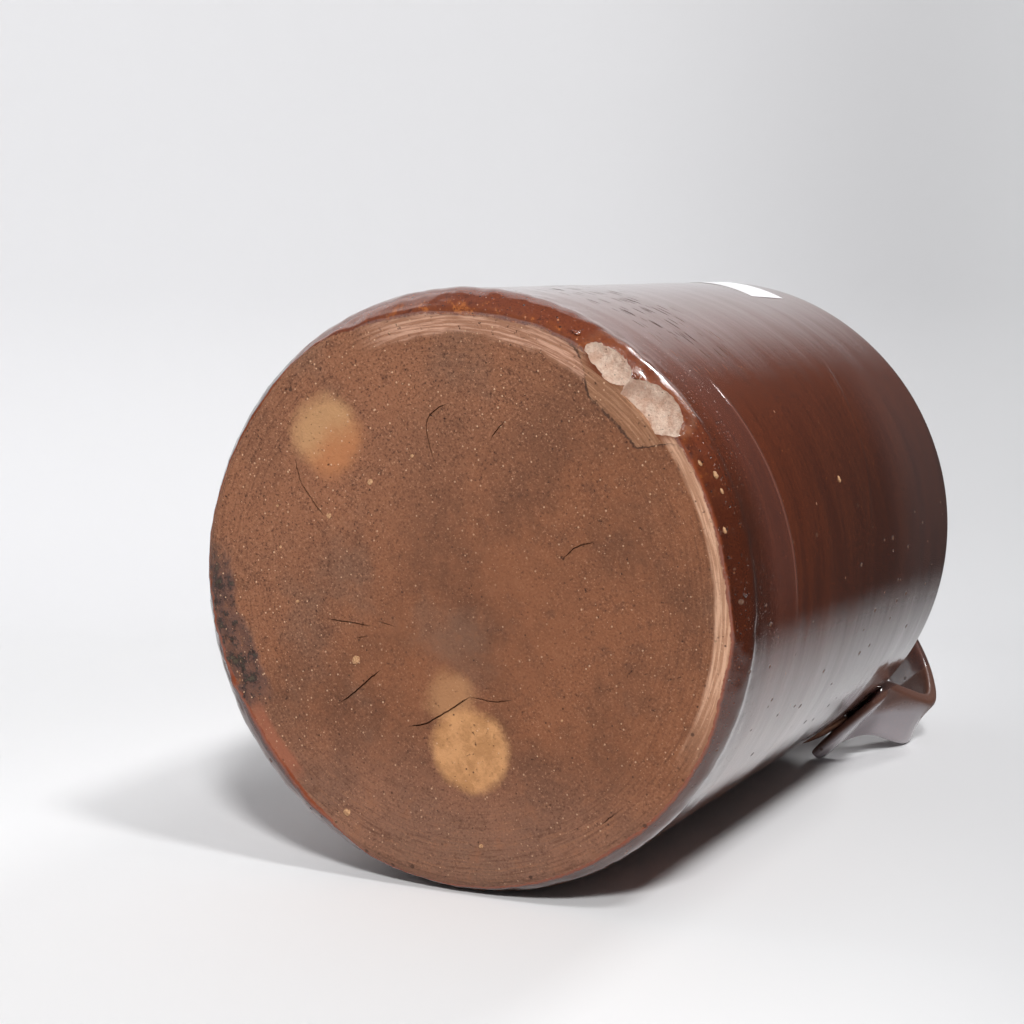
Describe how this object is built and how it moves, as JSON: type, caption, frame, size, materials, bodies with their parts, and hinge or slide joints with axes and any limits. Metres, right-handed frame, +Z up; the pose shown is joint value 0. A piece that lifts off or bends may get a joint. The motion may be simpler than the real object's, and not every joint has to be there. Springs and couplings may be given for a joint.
{
  "type": "stoneware crock",
  "caption": "Cylindrical stoneware storage crock with a domed shoulder, wide rimmed neck, strap handle and bare flat base.",
  "frame": {"origin": "middle of the flat underside, on the crock's axis", "axes": "+Z up the axis from the base to the mouth, +X through the strap handle, +Y completes a right-handed frame"},
  "size_m": [0.2437, 0.2204, 0.385],
  "materials": {
    "bare_clay": "unglazed gritty stoneware, scorched brown",
    "brown_glaze": "glossy red-brown glaze"
  },
  "bodies": {
    "root": {"base_slab": "bare_clay", "body_wall": "brown_glaze", "shoulder_ring": "brown_glaze", "neck_collar": "brown_glaze", "strap_handle": "brown_glaze"}
  },
  "joints": []
}
